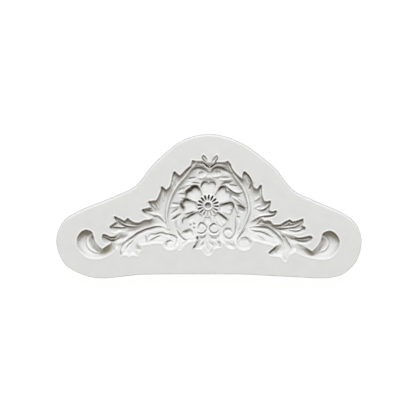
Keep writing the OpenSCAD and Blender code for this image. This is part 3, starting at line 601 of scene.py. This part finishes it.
# Right side leaf
groove([(23.3, -9), (24.4, -8.1), (25.8, -6.7)], 1.2, 0.5, 0.9)
ridge([(24.6, -8.9), (26.6, -8.6), (28.6, -9.2), (30.6, -9.3)], 0.9, 0.6, 0.5)
ridge([(36.2, -9.6), (38, -9), (39.4, -8), (40.4, -8.4), (43, -8.2)], 1.5, 0.8, 0.5, (0.3, 0.5))
ridge([(31.4, -9.3), (34, -10.2), (38, -10.3), (41.5, -9.9), (44.3, -8.8), (45.8, -7.4)], 1.5, 1, 0.5,
      (0.4, 0.7))
dark([(31.6, -9.7), (33.5, -10.7), (35.3, -11.2), (38.1, -10.9), (40.5, -10.5), (43.3, -10), (45.1, -8.9),
      (46, -7.5)], 0.4, 0.42)
ridge([(38.6, -11.2), (41, -11.5), (43.6, -11.6), (46, -10.7)], 1.4, 0.8, 0.4)
dark([(40.2, -11.9), (42.7, -12.3), (44.6, -12), (46, -11.2), (47.3, -10.6)], 0.35, 0.5)
ridge([(34.4, -11.7), (37, -12.4), (39.6, -12.9)], 0.9, 0.9, 0.6)
ridge([(38.4, -14.3), (42, -15.3), (44.8, -16.3), (47.2, -16.4), (49, -16), (50.2, -15.3)], 1.3, 0.6, 0.5,
      (0.4, 0.7))
dark([(50.3, -16), (48.5, -17), (46.7, -17.3), (44.5, -17), (42.1, -15.8), (40.5, -15)], 0.35, 0.5)

# Left side leaf
ridge([(-45, -6.5), (-43.6, -7.6), (-41.7, -8.8), (-39.9, -9.3), (-37.4, -9.6), (-34.2, -9.7)], 1.6, 0.8, 0.4,
      (0.6, 0.4))
dark([(-43.9, -8), (-42.3, -9.1), (-40.5, -9.8), (-37.4, -10.2)], 0.35, 0.55)
ridge([(-47.2, -9.9), (-45, -9.8), (-42.8, -10), (-40.6, -9.9)], 1.3, 1.2, 0.5, (0.6, 0.3))
dark([(-48.3, -10.1), (-46, -10.4), (-43.6, -10.7), (-40.8, -10.3)], 0.4, 0.6)
groove([(-44.9, -12), (-44.6, -12.8)], 0.8, 0.5, 0.5, (0.6, 0.6))
groove([(-43.7, -14.2), (-42.8, -13), (-41, -12.4), (-38, -11.7), (-35, -10.9)], 0.4, 0.4, 1.2)
ridge([(-51.5, -14.6), (-49.7, -15.4), (-47.9, -16), (-46, -15.9), (-44.5, -14.8)], 1.5, 0.7, 0.4, (0.7, 0.4))
dark([(-52.3, -15.1), (-50.9, -15.4), (-49.4, -16.1), (-48.2, -16.7), (-46.6, -16.4), (-45.1, -16)], 0.4, 0.6)
stroke([(-46.2, -14.4), (-44.6, -13.4), (-42.5, -12.9), (-40.4, -12.6)], 0.8, 1, 3.1, (0.5, 0.3))

# Lower stems and hanging leaves
groove([(-43.4, -20.8), (-42.7, -18.8), (-41.1, -17.2), (-39.3, -15.8), (-37.4, -14.6), (-35.6, -13.2),
        (-33.8, -12.3), (-31.3, -11.2), (-28.8, -10.6), (-26.4, -10), (-23.9, -10), (-21.8, -10.6),
        (-20.3, -11.4)], 1.8, 0.5, 1.7, (0.4, 0.3))
dark([(-39.3, -15.8), (-35.6, -13.2), (-31.3, -11.2), (-26.4, -10), (-23.6, -10)], 0.35, 0.5)
groove([(-41.4, -21), (-39.6, -18.6), (-38, -17.2), (-36.5, -15.3)], 1, 0.4, 0.7, (0.3, 0.3))
stroke([(-35.6, -18.2), (-35.8, -19.8), (-35.5, -21.3)], -0.3, 0.4, 0.6)
dark([(-43.4, -21.2), (-43.6, -22.2), (-43.2, -23.8)], 0.35, 0.35)
stroke([(-42.4, -20.6), (-42.8, -22.4)], 0.5, 0.6, 0.6)
stroke([(-39.8, -20.4), (-40.4, -23)], 0.5, 0.5, 0.5)
stroke([(-37.4, -19.2), (-37.8, -22.8)], 0.4, 0.6, 0.6)
groove([(20.2, -10.4), (22.4, -10.1), (24.9, -10), (27.3, -10), (29.2, -10.4), (31, -11.4), (32.6, -12.7),
        (34.2, -14.1), (35.9, -16.3), (37, -18.7), (37.1, -20.6)], 1.7, 0.5, 1.6, (0.4, 0.2))
dark([(22.4, -10.1), (24.9, -10), (27.3, -10), (29.2, -10.4), (31, -11.4)], 0.35, 0.5)
stroke([(34, -12.3), (36.2, -13.8), (38.1, -16), (39.5, -18.4), (40.2, -21.2)], -0.7, 0.9, 0.4)
stroke([(34.6, -12.2), (37, -13.9), (38.9, -16.2), (40.3, -18.8), (41.1, -21.4)], 0.9, 0.6, 0.6)
groove([(20.6, -11.5), (22.4, -12), (24.9, -12.2), (27, -12.8), (28.9, -13.7), (30.4, -14.6), (31.6, -15.1)],
       1.3, 0.4, 1.3, (0.4, 0.3))
groove([(23.7, -14.4), (25.8, -15.2), (27.3, -16.3), (28.6, -17.1)], 0.6, 0.4, 0.9)
groove([(29.6, -22.9), (31, -21.7), (32.4, -20.7), (33.4, -19.8), (34.5, -18.5)], 1, 0.4, 0.6, (0.9, 0.5))
dark([(29.9, -22.7), (31, -21.6), (32.4, -20.6), (33.6, -19.4)], 0.3, 0.9)
groove([(32.6, -22.6), (33.8, -21.7), (34.5, -20.6)], 0.6, 0.4, 0.6)
stroke([(38.2, -25.6), (37.8, -23.6), (38.4, -21.4)], 0.4, 0.5, 0.5)

# The small stems that end in the curls
groove([(-30, -14.9), (-28.6, -13.6), (-26.4, -13.5), (-24.6, -13), (-22.7, -12.9), (-20.9, -13.4),
        (-18.7, -13.8), (-16.9, -14.4), (-15.8, -15.3), (-15.5, -16.6), (-16, -17.8), (-16.7, -18.9)], 1.2,
       0.4, 1.1, (0.4, 0.4))
groove([(-29.6, -17), (-27.9, -16.1), (-25.8, -15), (-23.7, -14.3)], 0.9, 0.4, 0.8)
groove([(-31.2, -14.9), (-30.9, -16), (-30.6, -17.4)], 0.8, 0.5, 0.6, (0.6, 0.6))
dark([(-31.1, -15), (-30.8, -16.2), (-30.6, -17.4)], 0.6, 0.22)
dark([(-29.6, -17), (-27.9, -16.1), (-25.8, -15), (-23.9, -14.3)], 0.3, 0.35)
stroke([(17.7, -11), (16.2, -12.9), (14.7, -14.7), (13.7, -16.5), (14, -18.2), (15.2, -19.7)], -1.3, 0.9, 0.4,
       (0.4, 0.4))
groove([(-21, -19.2), (-20.9, -17.9), (-20.3, -17.1), (-19, -16.7), (-17.9, -17.1)], 1.3, 0.5, 1.4,
       (0.7, 0.4))
groove([(15, -17.1), (15.8, -15.9), (17.2, -15.3), (18.7, -15.7), (19.6, -16.9)], 1, 0.6, 2, (0.5, 0.5))
stroke([(19.9, -16.4), (20, -18), (19.2, -19.4)], -0.4, 0.6, 0.5)
dark([(15.4, -16.6), (17, -15.9), (19, -16.2)], 0.9, 0.22)

# Palmette: two scrolls, crescents below them, and the tips
groove([(-5.4, -10.6), (-4.9, -9), (-3.8, -8), (-2.3, -8.6), (-1.1, -10.1)], 1.6, 0.5, 1.2, (0.6, 0.5))
groove([(-5.2, -12.9), (-3.8, -13.2), (-2.4, -12.7), (-1.5, -11.8), (-1, -10.6)], 1.3, 0.5, 0.5, (0.8, 0.4))
groove([(0.3, -10.5), (1, -9.2), (2.3, -8.4), (3.6, -9)], 1.6, 0.5, 1.2, (0.7, 0.4))
groove([(0.2, -11.3), (1.1, -12.4), (2.5, -13), (3.8, -12.6), (4.8, -11.7)], 1.3, 0.5, 0.5, (0.8, 0.4))
groove([(-5, -14.9), (-3.6, -15.8), (-2.2, -15.2), (-1.2, -13.8)], 1, 1.1, 0.4)
groove([(0.3, -14.3), (1.4, -15.5), (3.2, -15.8), (4.8, -14.8), (5.4, -13.2)], 1, 1.1, 0.4)
ridge([(-4.6, -13.9), (-3, -14.2), (-1.6, -13.4)], 0.7, 0.7, 0.5)
ridge([(0.6, -13.6), (2.2, -14.1), (4.2, -13.6)], 0.7, 0.7, 0.5)
groove([(-7.6, -20.3), (-6.4, -18.8), (-5.5, -17.1)], 1.6, 0.7, 0.5, (1, 0.4))
groove([(-4, -20.3), (-3.2, -18.8), (-2.4, -17.6)], 0.9, 0.4, 0.9)
groove([(0.4, -17.4), (1.8, -18.8), (3.4, -19.9), (5.4, -19.9)], 1, 0.9, 0.4, (0.3, 0.9))
groove([(4.4, -17.4), (5.3, -18.3)], 0.9, 0.5, 0.5, (0.6, 0.6))
stroke([(-3.6, -20.9), (-2, -22.4), (-0.5, -23.4), (0.9, -22.6), (2, -20.9)], 0.5, 0.5, 0.5)
ridge([(-0.6, -16), (-0.4, -18.6), (-0.2, -20.4)], 0.7, 0.7, 0.7)
ridge([(-5, -19.6), (-3.8, -17.8), (-2.8, -16.8)], 0.8, 0.6, 0.5)
ridge([(1.6, -16.8), (3.4, -17.6), (4.8, -19)], 0.8, 0.6, 0.5)
bowl(-5.7, -15.4, 0.8, 1.8)
dark([(-5.8, -15.1), (-5.5, -15.8)], 0.6, 0.9)
dark([(-7.6, -20.3), (-6.6, -19)], 0.5, 0.8)
bowl(-7.2, -8.6, 0.7, 1.2)
bowl(-9, -9.2, 0.7, 1.0)
bowl(-7.2, -10.5, 0.7, 1.0)

# Inner scrolls, beside the palmette
groove([(-13, -13.2), (-12.2, -12.5), (-11, -12.2), (-9.8, -11.7), (-8.7, -12.2), (-8, -13.6)], 1.4, 0.9, 1.5,
       (0.5, 0.4))
dark([(-12.3, -12.6), (-11, -12.2), (-9.8, -11.9)], 0.8, 0.45)
groove([(-15.7, -11.8), (-14.9, -13.3), (-13.8, -14.7), (-12.6, -15.9), (-11.3, -16.5), (-9.9, -16.2)], 1.4,
       0.8, 0.5, (0.4, 0.4))
groove([(7.3, -12.2), (8.4, -11.1), (10, -11), (11, -12)], 1.3, 0.7, 1.6, (0.4, 0.6))
groove([(7.2, -12.4), (7.1, -13.6), (7.9, -14.9), (9.4, -15.8), (10.8, -15.6), (12, -14.4), (12.8, -12.8),
        (13.1, -10.6), (13, -8)], 1.1, 0.8, 0.5, (0.5, 0.4))
groove([(8.6, -17), (10.6, -18.6), (11.8, -19.6)], 0.5, 0.6, 0.6)
stroke([(-13.4, -17), (-13.8, -19), (-14.2, -21)], 0.5, 0.6, 0.8)

# End scrolls: a spiral ridge down their middle, with painted shade in their pockets, bowls and tails
stroke([(56.9, -13.9), (58.1, -15.3), (58.8, -17.3), (58.5, -19.4), (57.4, -20.9), (55.8, -21.9),
        (53.6, -22.6)], 1.1, 0.6, 1.3, (0.8, 0.2))
stroke([(-58, -13.4), (-59.4, -14.9), (-60.1, -17.2), (-59.7, -19.4), (-58.2, -21.2), (-55.6, -22.4),
        (-52.6, -23)], 1.1, 1.3, 0.6, (0.8, 0.2))
dark([(57.4, -14.1), (58.4, -15.4), (58.9, -16.6)], 0.4, 0.4)
dark([(56, -15.6), (55.9, -16.3)], 0.5, 0.6)
dark([(56.6, -13.9), (57.2, -14.3)], 0.45, 0.5)
dark([(-57.6, -14.5), (-57.2, -15.6)], 0.7, 0.6)
warm([(-52.4, -22.3), (-50.4, -21.6), (-48.2, -20)], 1.3, 1)
warm([(-63.9, -15.6), (-62.6, -14), (-60.8, -13.1), (-59, -13.6)], 1.2, 0.9)
warm([(57.8, -13.6), (60, -13.7), (62.2, -14.9), (63.4, -16.4)], 1.2, 0.9)
stroke([(-56.4, -17.2), (-55.2, -19.3), (-53.8, -20.8)], 1.2, 1.3, 1.3)
stroke([(54.8, -17.8), (53.4, -20), (52, -21.3)], 1.2, 1.3, 1.3)
warm([(48.2, -21.8), (50.4, -22.9), (52, -22.4)], 1, 0.9)

# The tips of the leaves, which are the hardest places for light to reach
for x, y, share in ((-16.8, 16.4, 1), (-23, 9.2, 1), (-29.5, 2.1, 0.7), (-32.5, -1.9, 0.9),
                    (17.3, 16.5, 0.8), (21.2, 11.3, 0.8), (25.3, 9.8, 1), (30.1, 2.1, 0.8), (33, -2.7, 0.9),
                    (-46.2, -5.5, 1), (-48.3, -10.1, 0.8), (-52, -14.1, 0.6), (-40.1, -6.4, 0.6),
                    (47, -10.8, 0.7), (50.5, -15.4, 0.7), (46.1, -6.7, 0.5), (-7.6, 21.9, 0.6),
                    (9.2, 21.6, 0.6), (56.5, -13.8, 0.6)):
    dark([(x - 0.15, y), (x + 0.15, y)], 0.65, share)

# Crests that stay light in the shade
bright([(-6, 21.1), (-8, 18.9), (-9.9, 16.8), (-11.9, 14.3), (-14.8, 11.1)], 0.45, 0.9)
bright([(9.8, 20.6), (10.7, 17.9), (12.4, 15), (14.6, 12.1)], 0.45, 0.9)
bright([(-58.2, -13.2), (-59.3, -15), (-59.6, -17.4), (-58.8, -20)], 0.45, 0.9)
bright([(-57, -17.6), (-56, -19.3), (-54.8, -20.7)], 0.9, 0.6)
bright([(56.5, -14.4), (57.7, -15.2), (58.3, -16.6), (58.4, -18.6)], 0.4, 0.9)
bright([(2.2, 20.2), (4, 20.2), (6.4, 20), (8.4, 19.6)], 0.45, 0.8)
bright([(-5.6, 17.8), (-4, 18), (-2.4, 17.6)], 0.45, 0.7)
bright([(2.4, 17.4), (3.6, 18.2), (5.4, 18.1), (7.4, 17.2)], 0.45, 0.7)

# Places where the walls of the hollow are gentle
gentle([(34.6, -18.4), (33, -19.3), (30, -18.6), (26, -17.8), (22, -16.6)], 1.8, 0.8)
gentle([(42, -21.6), (40.3, -23.2), (38.9, -25), (38.2, -27), (36.9, -26.4), (35.7, -24.7), (33, -24.2)], 1.8,
       0.8)
gentle([(-45.2, -13.4), (-44, -12.9), (-42, -13.2)], 2.4)
gentle([(-45.2, -20.4), (-44.2, -21.4), (-43.4, -24), (-41.6, -23.6), (-38.6, -23.5), (-34.3, -23),
        (-34, -21), (-34.2, -18.6), (-31.5, -18.6), (-26.9, -18), (-22.6, -18.2)], 1.6, 0.7)
gentle([(-57.4, -15.6), (-56.4, -17.6), (-55, -19.6), (-53.6, -20.8)], 1.8, 0.75)
gentle([(55.8, -15.6), (54.8, -18), (53.4, -20), (51.8, -21.6)], 1.8, 0.75)
gentle([(42, -17.8), (44.4, -18.7), (46.4, -19.4)], 2.6)
gentle([(-34.8, -22.2), (-33.2, -21.2), (-34, -19)], 2)
gentle([(37, -13.2), (39, -14.2), (41.3, -14.7)], 1.8)
gentle([(38.4, -15.6), (39.6, -16.6), (41.5, -17.4)], 1.8)
gentle([(-45.4, -17.4), (-44, -17.2)], 2)
gentle([(13.6, -19), (15, -20.6), (17.2, -21.3), (19.6, -20.6), (21, -18.6), (21, -16.6)], 1.8, 0.8)
gentle([(-22.8, -18.2), (-21.4, -20.4), (-19, -21.2), (-16.8, -20.6), (-15.4, -19.2)], 1.8, 0.8)
gentle([(-15, -20.6), (-12.4, -19.2), (-9.6, -17.4)], 1.4, 0.7)
gentle([(9.2, -19.8), (12.6, -20.2)], 1.4, 0.7)
gentle([(-7.2, 22), (-3.8, 21.9)], 1.2, 0.4)
gentle([(3.8, 21.4), (8.8, 21.7)], 1.2, 0.4)
gentle([(-1.8, 21.3), (2, 21.3)], 1.7, 1)
gentle([(-3, 23.4), (-2, 22.6)], 1.6, 0.6)
gentle([(3.6, 23.6), (2.4, 22.6)], 1.6, 0.6)

# ---- walls

# A wall drops straight for about a millimetre and then curves into the floor. `turn` is 1 at a wall on the
# hollow's +Y side, which is the steepest, and `ease` is 1 where the wall is gentle.
SOFT = 0.2
SLOPE, SLOPE_TURN = 4.6, 2.6
DROP, DROP_TURN = 1.15, 0.25
CURVE, CURVE_EASE = 1.7, 1.0
# The lip that stands round the hollow, and the rubber left under the deepest fold
LIP = 0.15
BACK = 3.8
run = 0.5 * (signed + np.sqrt(signed**2 + SOFT**2)) * smooth((signed + 0.5) / 0.4)
turn = blur(facing, 0.4)
drop = run * (SLOPE + SLOPE_TURN * turn) * (1 - 0.8 * ease)
start = (DROP + DROP_TURN * turn) * (1 - 0.6 * ease)


def lower_of(a, b, blend):
    """The smaller of two depths, with a rounded meeting."""
    mix = np.clip(blend - np.abs(a - b), 0, None) / blend
    return np.minimum(a, b) - mix * mix * blend / 4


shelf = floor - (floor - start) * np.exp(-run / (CURVE + CURVE_EASE * ease))
depth = lower_of(drop, shelf + folds * smooth(signed / 1.2), 0.6)
depth = np.clip(depth, 0, TOP - BACK)
depth -= LIP * smooth((signed + 0.9) / 0.5) * smooth(-(signed + 0.05) / 0.35)
depth[signed <= 0.05 - MARGIN] = 0

# Painted light and shade in the rubber's colour: painted shade where it is closed in, painted warm shade
# below a +Y edge, where the wall faces away from the lamp, and a painted highlight on the hollow's rim
painted_crevice_shade = 0.65 * np.clip((depth - blur(depth, 0.5)) / 1.2, 0, 1)
upper = smooth((turn + 0.1) / 0.9) * (1 - ease)
painted_crevice_shade = np.maximum(painted_crevice_shade, 0.7 * np.exp(-((signed - 0.3) / 0.3) ** 2) * upper)
painted_crevice_shade = np.maximum(painted_crevice_shade, painted_undercut_shade)
# Painted warm shade on the walls that face away from the lamp
painted_warm_shade = np.exp(-run / 1.15) * upper * smooth(signed / 0.3)
painted_warm_shade = np.maximum(painted_warm_shade, shaded)
# Painted highlight round the hollow's rim, on raised crests and along the listed crest lines
painted_highlight = np.exp(-((signed + 0.45) / 0.35) ** 2) * (0.3 + 0.7 * smooth((turn + 0.5) / 0.8)) * (1 - 0.6 * ease)
painted_highlight = np.maximum(painted_highlight, np.clip((blur(depth, 0.5) - depth) / 0.6, 0, 1) * (signed > 0))
painted_highlight = np.maximum(painted_highlight, painted_crest_highlight)

# ---- the skin's mesh

# The ornament's ends are drawn in towards the middle by PULL, and all of it is lowered by LOWER, in mm
PULL = 0.45
LOWER = 0.2


def pull(x):
    return PULL * np.sign(x) * smooth((np.abs(x) - 18) / 18)


corners = signed > -MARGIN
cells = corners[:-1, :-1] | corners[1:, :-1] | corners[:-1, 1:] | corners[1:, 1:]
blocks = cells.reshape((NY - 1) // BLOCK, BLOCK, (NX - 1) // BLOCK, BLOCK).any((1, 3))
cells = np.repeat(np.repeat(blocks, BLOCK, 0), BLOCK, 1)

used = np.zeros(X.shape, bool)
for a in (0, 1):
    for b in (0, 1):
        used[a:NY - 1 + a, b:NX - 1 + b] |= cells
number = np.full(X.shape, -1)
number[used] = np.arange(used.sum())
verts = [np.stack([X[used] - pull(X[used]), Y[used] - LOWER, TOP - depth[used]], 1)]
quads = [number[:-1, :-1][cells], number[:-1, 1:][cells], number[1:, 1:][cells], number[1:, :-1][cells]]
faces = [tuple(q) for q in np.stack(quads, 1).tolist()]
first_ring = count = int(used.sum())

# Edges between kept and dropped cells
padded = np.pad(cells, 1)
j, i = np.nonzero(padded[1:, 1:-1] != padded[:-1, 1:-1])
rim = list(zip(number[j, i].tolist(), number[j, i + 1].tolist()))
j, i = np.nonzero(padded[1:-1, 1:] != padded[1:-1, :-1])
rim += list(zip(number[j, i].tolist(), number[j + 1, i].tolist()))

# The slab's edge: rings from the flat top over a round corner, down the side and round the bottom corner
slab = closed_curve([(x * LENGTH / DRAWN_LENGTH, y * WIDTH / DRAWN_WIDTH) for x, y in SLAB], 0.9)[::-1]
outward = outward_of(slab)
# The side leans out most where it faces +Y
lean = (0.65 + 0.35 * outward[:, 1])[:, None]
DRAFT = 0.75
ROUND = 0.75
FOOT = 0.35
profile = [(DRAFT + ROUND + 0.8, TOP), (DRAFT + ROUND + 0.1, TOP)]
profile += [(DRAFT + ROUND * (1 - s), TOP - ROUND * (1 - c)) for c, s in map(unit, (12, 26, 40, 55, 70, 84))]
profile += [(DRAFT * 0.66, TOP * 0.66), (DRAFT * 0.33, TOP * 0.33), (0.0, FOOT)]
profile += [(FOOT * (1 - c), FOOT * (1 - s)) for c, s in map(unit, (30, 60, 90))]
profile += [(FOOT + 0.6, 0.0)]
loops = []
shade = []
for inset, height in profile:
    loop = slab - outward * inset * lean
    # Painted shade on the slab's side, strongest where it faces +Y
    shade.append(smooth((TOP - 0.05 - height) / 0.9) * (0.4 + 0.6 * smooth((outward[:, 1] + 0.3) / 0.8)))
    verts.append(np.column_stack([loop, np.full(len(loop), height)]))
    loops.append(list(range(count, count + len(loop))))
    count += len(loop)
for upper, lower in zip(loops[:-1], loops[1:]):
    faces += list(zip(upper, lower, lower[1:] + lower[:1], upper[1:] + upper[:1]))

# Loose points that keep the flat's triangles well shaped
spare = np.stack(np.meshgrid(np.arange(-74, 75, 3.0), np.arange(-35, 36, 3.0)), 2).reshape(-1, 2)
top_line = slab - outward * lean * profile[0][0]
spare = spare[inside(spare, slab - outward * (profile[0][0] + 1.0))]
column = np.clip(((spare[:, 0] - GRID_LOW[0]) / STEP).astype(int), 0, NX - 2)
row = np.clip(((spare[:, 1] - GRID_LOW[1]) / STEP).astype(int), 0, NY - 2)
on_grid = ((spare > GRID_LOW) & (spare < GRID_HIGH)).all(1)
near_cells = blur(cells.astype(float), 1.0) > 1e-6
spare = spare[~(on_grid & near_cells[row, column])]
first_spare = count
verts.append(np.column_stack([spare, np.full(len(spare), TOP)]))
count += len(spare)

all_verts = np.concatenate(verts)


def triangulate(ids, edges, outer, hole):
    """Triangles with these edges, inside `outer` and, with a hole, outside the kept cells."""
    order = {v: k for k, v in enumerate(ids)}
    flat = [Vector((all_verts[v, 0], all_verts[v, 1])) for v in ids]
    links = [(order[a], order[b]) for a, b in edges]
    _, _, triangles, origins, _, _ = delaunay_2d_cdt(flat, links, [], 0, 1e-6, True)
    back = [ids[o[0]] if o else -1 for o in origins]
    named = [[back[k] for k in t] for t in triangles]
    result = np.array([t for t in named if min(t) >= 0 and len(set(t)) == 3])
    centre = all_verts[result][:, :, :2].mean(1)
    keep = inside(centre, outer)
    if hole:
        i = np.floor((centre[:, 0] + pull(centre[:, 0]) - GRID_LOW[0]) / STEP).astype(int)
        j = np.floor((centre[:, 1] + LOWER - GRID_LOW[1]) / STEP).astype(int)
        within = (i >= 0) & (j >= 0) & (i < NX - 1) & (j < NY - 1)
        inner = np.zeros(len(centre), bool)
        inner[within] = cells[j[within], i[within]]
        keep &= ~inner
    result = result[keep]
    a, b, c = (all_verts[result[:, k], :2] for k in range(3))
    area = (b[:, 0] - a[:, 0]) * (c[:, 1] - a[:, 1]) - (b[:, 1] - a[:, 1]) * (c[:, 0] - a[:, 0])
    result[area < 0] = result[area < 0][:, ::-1]
    return result.tolist()


def loop_edges(loop):
    return list(zip(loop, loop[1:] + loop[:1]))


top_ids = sorted({v for e in rim for v in e}) + loops[0] + list(range(first_spare, count))
faces += triangulate(top_ids, rim + loop_edges(loops[0]), top_line, True)
bottom_line = slab - outward * lean * profile[-1][0]
faces += [t[::-1] for t in triangulate(loops[-1], loop_edges(loops[-1]), bottom_line, False)]

mesh = bpy.data.meshes.new("mould_skin")
mesh.from_pydata((all_verts * MM).tolist(), [], faces)
mesh.update()
mesh.shade_smooth()
for name, field, first in (("painted_crevice_shade", painted_crevice_shade[used], 0), ("painted_warm_shade", painted_warm_shade[used], 0),
                           ("painted_highlight", painted_highlight[used], 0), ("side", np.concatenate(shade), first_ring)):
    values = np.zeros(len(all_verts), np.float32)
    values[first:first + len(field)] = field
    mesh.attributes.new(name, "FLOAT", "POINT").data.foreach_set("value", values)


def add(name, data):
    """A new object in the scene."""
    made = bpy.data.objects.new(name, data)
    bpy.context.scene.collection.objects.link(made)
    return made


skin = add("mould_skin", mesh)

# ---- materials


def material(name, values):
    """A material with these values on its shader's sockets."""
    made = bpy.data.materials.new(name)
    made.use_nodes = True
    for socket, value in values.items():
        made.node_tree.nodes["Principled BSDF"].inputs[socket].default_value = value
    return made


silicone = material("silicone", {
    "Roughness": 0.5, "IOR": 1.41, "Specular IOR Level": 0.35, "Subsurface Weight": 0.06,
    "Subsurface Radius": (1.0, 0.8, 0.55), "Subsurface Scale": 0.0012})
nodes, links = silicone.node_tree.nodes, silicone.node_tree.links
shader = nodes["Principled BSDF"]
place = nodes.new("ShaderNodeTexCoord")


def noise(scale, detail):
    made = nodes.new("ShaderNodeTexNoise")
    made.inputs["Scale"].default_value = scale
    made.inputs["Detail"].default_value = detail
    links.new(place.outputs["Object"], made.inputs["Vector"])
    return made.outputs["Fac"]


ramp = nodes.new("ShaderNodeValToRGB")
ramp.color_ramp.elements[0].position = 0.3
ramp.color_ramp.elements[0].color = (0.705, 0.702, 0.69, 1)
ramp.color_ramp.elements[1].position = 0.7
ramp.color_ramp.elements[1].color = (0.735, 0.733, 0.722, 1)
links.new(noise(160, 4), ramp.inputs["Fac"])
colour = ramp.outputs["Color"]
# Painted shade on the slab's side, painted highlights, painted warm shade and painted dark shade in creases,
# mixed into the base colour in this order
for name, tint in (("side", (0.47, 0.475, 0.48, 1)), ("painted_highlight", (0.93, 0.93, 0.92, 1)),
                   ("painted_warm_shade", (0.42, 0.385, 0.29, 1)), ("painted_crevice_shade", (0.085, 0.062, 0.03, 1))):
    share = nodes.new("ShaderNodeAttribute")
    share.attribute_name = name
    mix = nodes.new("ShaderNodeMix")
    mix.data_type = "RGBA"
    mix.inputs["B"].default_value = tint
    links.new(share.outputs["Fac"], mix.inputs["Factor"])
    links.new(colour, mix.inputs["A"])
    colour = mix.outputs["Result"]
links.new(colour, shader.inputs["Base Color"])
bump = nodes.new("ShaderNodeBump")
bump.inputs["Strength"].default_value = 0.12
bump.inputs["Distance"].default_value = 0.00012
links.new(noise(900, 3), bump.inputs["Height"])
links.new(bump.outputs["Normal"], shader.inputs["Normal"])
mesh.materials.append(silicone)

paper = material("pale_floor", {
    "Base Color": (0.1, 0.1, 0.1, 1), "Roughness": 0.9, "Emission Color": (1, 1, 1, 1),
    "Emission Strength": 0.95})

# ---- the piece on its frame

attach(skin, "root")
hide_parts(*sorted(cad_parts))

# ---- floor, light and camera

# The floor is a wide tray, in metres, so that a low view sees its far side and not the room behind it
SPREAD = 6.0
RAISED = 0.5
GAP_UNDER = 0.0002
sheet = bpy.data.meshes.new("floor")
square = [(-SPREAD, -SPREAD), (SPREAD, -SPREAD), (SPREAD, SPREAD), (-SPREAD, SPREAD)]
sheet.from_pydata([(x, y, z) for z in (0, RAISED) for x, y in square], [],
                  [(0, 1, 2, 3)] + [(k, k + 4, (k + 1) % 4 + 4, (k + 1) % 4) for k in range(4)])
sheet.materials.append(paper)
ground = add("floor", sheet)
ground.location = (0, 0, cad_low.z - GAP_UNDER)

world = bpy.data.worlds.new("studio")
world.use_nodes = True
background = world.node_tree.nodes["Background"]
background.inputs["Color"].default_value = (1, 0.93, 0.82, 1)
background.inputs["Strength"].default_value = 0.35
bpy.context.scene.world = world

# A square lamp on the +Y side that faces the object
LAMP_ELEVATION = 50
LAMP_DISTANCE = 3.0
lamp = bpy.data.lights.new("key", "AREA")
lamp.shape = "SQUARE"
lamp.size = 1.75
lamp.energy = 93
lamp.color = (0.912, 0.952, 1)
softbox = add("key", lamp)
towards = Vector((0, *unit(LAMP_ELEVATION)))
softbox.location = towards * LAMP_DISTANCE
softbox.rotation_euler = towards.to_track_quat("Z", "Y").to_euler()

# A long lens straight above: what it frames, and the point it looks at
FRAME_WIDTH = 205.9 * MM
AIM = (0.54 * MM, -1.97 * MM, cad_high.z * 0.35)
camera = bpy.data.cameras.new("camera")
camera.sensor_width = 36
camera.lens = 400
camera.clip_end = 20
eye = add("camera", camera)
eye.location = (AIM[0], AIM[1], AIM[2] + FRAME_WIDTH * camera.lens / camera.sensor_width)
bpy.context.scene.camera = eye
bpy.context.scene.view_settings.view_transform = "Standard"
